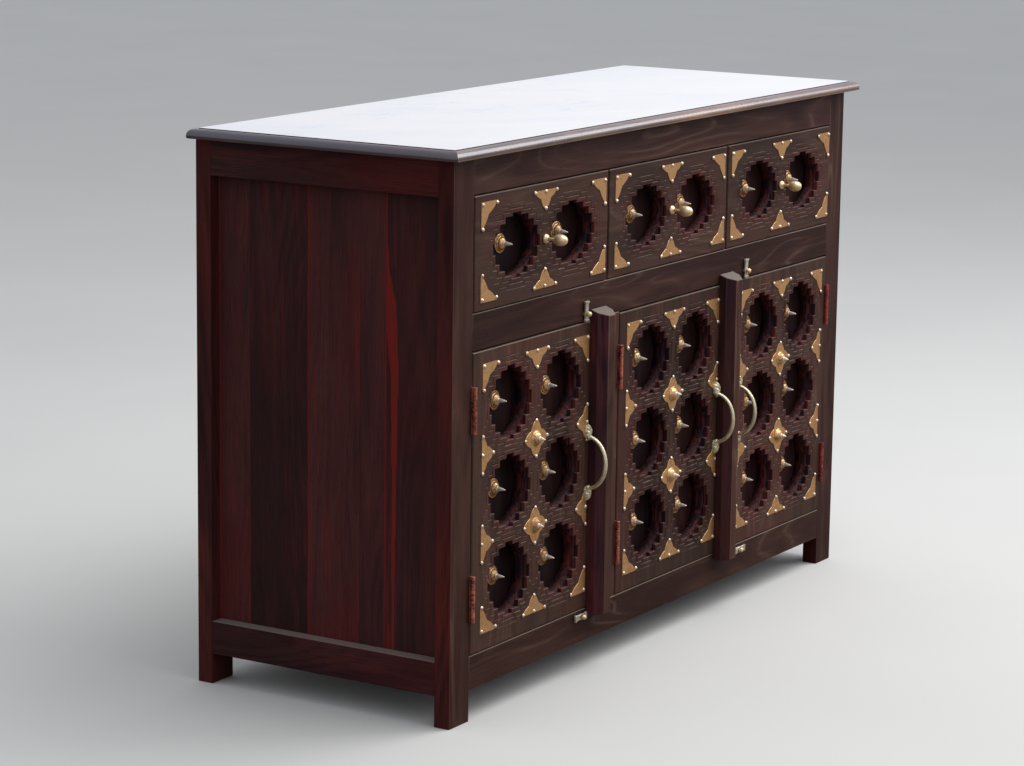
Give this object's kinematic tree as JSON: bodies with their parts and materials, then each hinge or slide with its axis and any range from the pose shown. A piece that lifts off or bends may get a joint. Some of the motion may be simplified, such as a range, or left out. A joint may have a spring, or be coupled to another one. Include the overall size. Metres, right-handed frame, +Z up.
{
  "type": "moroccan carved cabinet",
  "caption": "Low sideboard of dark carved hardwood with a marble top, drawers over cupboard doors, stepped medallion niches, brass plates and spiked bosses.",
  "frame": {"origin": "on the floor under the middle of the overall box", "axes": "+X along the front to the right as seen from the front, -Y is the front, +Z up"},
  "size_m": [1.368, 0.5264, 0.9],
  "materials": {
    "dark_wood": "waxed",
    "inner_wood": "bare",
    "marble": "polished",
    "brass": "dull",
    "steel": "worn",
    "stained_iron": "stained"
  },
  "bodies": {
    "carcass": {"back_panel": "inner_wood", "back_post_left": "dark_wood", "back_post_right": "dark_wood", "back_rails": "inner_wood", "button_pivots": "brass", "drawer_deck": "inner_wood", "drawer_guides": "inner_wood", "floor_board": "inner_wood", "frame_hinges": "stained_iron", "front_post_left": "dark_wood", "front_post_right": "dark_wood", "front_rail_bottom": "dark_wood", "front_rail_frieze": "dark_wood", "front_rail_middle": "dark_wood", "marble_slab": "marble", "mullion_narrow": "dark_wood", "mullion_wide": "dark_wood", "partition_left": "inner_wood", "partition_right": "inner_wood", "side_panel_left": "dark_wood", "side_panel_right": "dark_wood", "side_rail_lower_left": "dark_wood", "side_rail_lower_right": "dark_wood", "side_rail_upper_left": "dark_wood", "side_rail_upper_right": "dark_wood", "sub_top": "inner_wood", "top_mouldings": "dark_wood"},
    "door_1": {"door_1_backing": "dark_wood", "door_1_brass": "brass", "door_1_handle": "brass", "door_1_hinges": "stained_iron", "door_1_panel": "dark_wood", "door_1_strip": "dark_wood"},
    "door_2": {"door_2_backing": "dark_wood", "door_2_brass": "brass", "door_2_handle": "brass", "door_2_hinges": "stained_iron", "door_2_panel": "dark_wood", "door_2_strip": "dark_wood"},
    "door_3": {"door_3_backing": "dark_wood", "door_3_brass": "brass", "door_3_handle": "brass", "door_3_hinges": "stained_iron", "door_3_panel": "dark_wood"},
    "drawer_1": {"drawer_1_box": "inner_wood", "drawer_1_brass": "brass", "drawer_1_front": "dark_wood", "drawer_1_knob": "brass"},
    "drawer_2": {"drawer_2_box": "inner_wood", "drawer_2_brass": "brass", "drawer_2_front": "dark_wood", "drawer_2_knob": "brass"},
    "drawer_3": {"drawer_3_box": "inner_wood", "drawer_3_brass": "brass", "drawer_3_front": "dark_wood", "drawer_3_knob": "brass"},
    "button_lower_left_body": {"button_lower_left": "steel"},
    "button_lower_right_body": {"button_lower_right": "steel"},
    "button_upper_left_body": {"button_upper_left": "steel"},
    "button_upper_right_body": {"button_upper_right": "steel"}
  },
  "joints": [
    {"name": "door_1_hinge", "type": "hinge", "parent": "carcass", "child": "door_1", "pos_m": [-0.60525, -0.22595, 0.3445], "axis": [0, 0, -1], "range_deg": [0, 105]},
    {"name": "door_2_hinge", "type": "hinge", "parent": "carcass", "child": "door_2", "pos_m": [-0.15625, -0.22595, 0.3445], "axis": [0, 0, -1], "range_deg": [0, 105]},
    {"name": "door_3_hinge", "type": "hinge", "parent": "carcass", "child": "door_3", "pos_m": [0.60525, -0.22595, 0.3445], "axis": [0, 0, 1], "range_deg": [0, 105]},
    {"name": "drawer_1_slide", "type": "slide", "parent": "carcass", "child": "drawer_1", "axis": [0, -1, 0], "range_m": [0, 0.3]},
    {"name": "drawer_2_slide", "type": "slide", "parent": "carcass", "child": "drawer_2", "axis": [0, -1, 0], "range_m": [0, 0.3]},
    {"name": "drawer_3_slide", "type": "slide", "parent": "carcass", "child": "drawer_3", "axis": [0, -1, 0], "range_m": [0, 0.3]},
    {"name": "button_upper_left_turn", "type": "hinge", "parent": "carcass", "child": "button_upper_left_body", "pos_m": [-0.269, -0.22515, 0.597], "axis": [0, 1, 0], "range_deg": [-180, 0]},
    {"name": "button_upper_right_turn", "type": "hinge", "parent": "carcass", "child": "button_upper_right_body", "pos_m": [0.284, -0.22515, 0.597], "axis": [0, -1, 0], "range_deg": [-180, 0]},
    {"name": "button_lower_left_turn", "type": "hinge", "parent": "carcass", "child": "button_lower_left_body", "pos_m": [-0.269, -0.22515, 0.094], "axis": [0, -1, 0], "range_deg": [-90, 0]},
    {"name": "button_lower_right_turn", "type": "hinge", "parent": "carcass", "child": "button_lower_right_body", "pos_m": [0.284, -0.22515, 0.094], "axis": [0, 1, 0], "range_deg": [-90, 0]}
  ]
}
